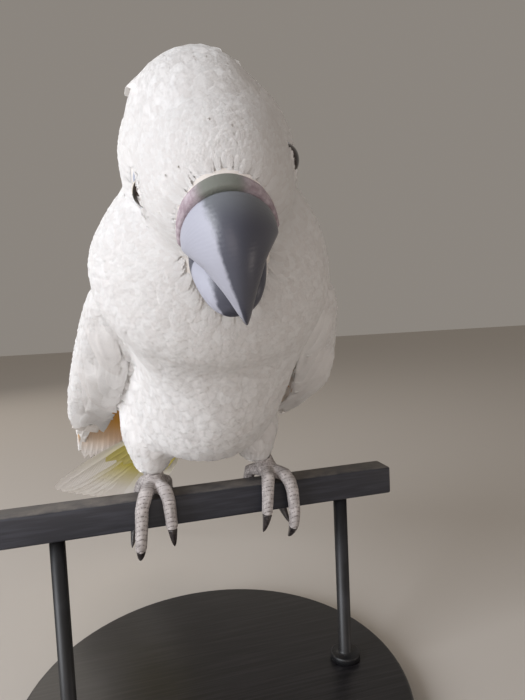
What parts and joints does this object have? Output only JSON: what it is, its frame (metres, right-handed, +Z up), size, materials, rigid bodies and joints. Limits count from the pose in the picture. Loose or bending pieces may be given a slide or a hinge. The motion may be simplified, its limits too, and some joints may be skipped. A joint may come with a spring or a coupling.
{
  "type": "umbrella cockatoo display model",
  "caption": "Life-size still model of a white cockatoo gripping a short cut length of square bar, head turned and bill lowered, on a plain round display stand.",
  "frame": {"origin": "centre of the underside of the display stand's round base", "axes": "+Z up; the bird faces -Y, with its right side at -X and its left side at +X; the perch runs along X"},
  "size_m": [0.2213, 0.3804, 0.3312],
  "materials": {
    "plumage": "soft matte white feathers, yellow under the wings and tail",
    "bill": "grey-black horn with a powdery bloom",
    "cere": "matte mauve-grey skin",
    "eye": "wet gloss, near black iris",
    "foot": "dusty scaled skin",
    "claw": "dark horn",
    "perch": "charcoal paint, lightly worn and dusty",
    "stand": "black satin",
    "stand_base": "black-stained satin wood"
  },
  "bodies": {
    "root": {"bill_lower": "bill", "bill_upper": "bill", "cere": "cere", "claw_left_inner_back": "claw", "claw_left_inner_front": "claw", "claw_left_outer_back": "claw", "claw_left_outer_front": "claw", "claw_right_inner_back": "claw", "claw_right_inner_front": "claw", "claw_right_outer_back": "claw", "claw_right_outer_front": "claw", "crest": "plumage", "eye_left": "eye", "eye_right": "eye", "foot_left": "foot", "foot_right": "foot", "head": "plumage", "neck": "plumage", "perch_bar": "perch", "stand_base": "stand_base", "stand_rod_left": "stand", "stand_rod_right": "stand", "tail": "plumage", "thigh_left": "plumage", "thigh_right": "plumage", "trunk": "plumage", "wing_left": "plumage", "wing_right": "plumage"}
  },
  "joints": []
}
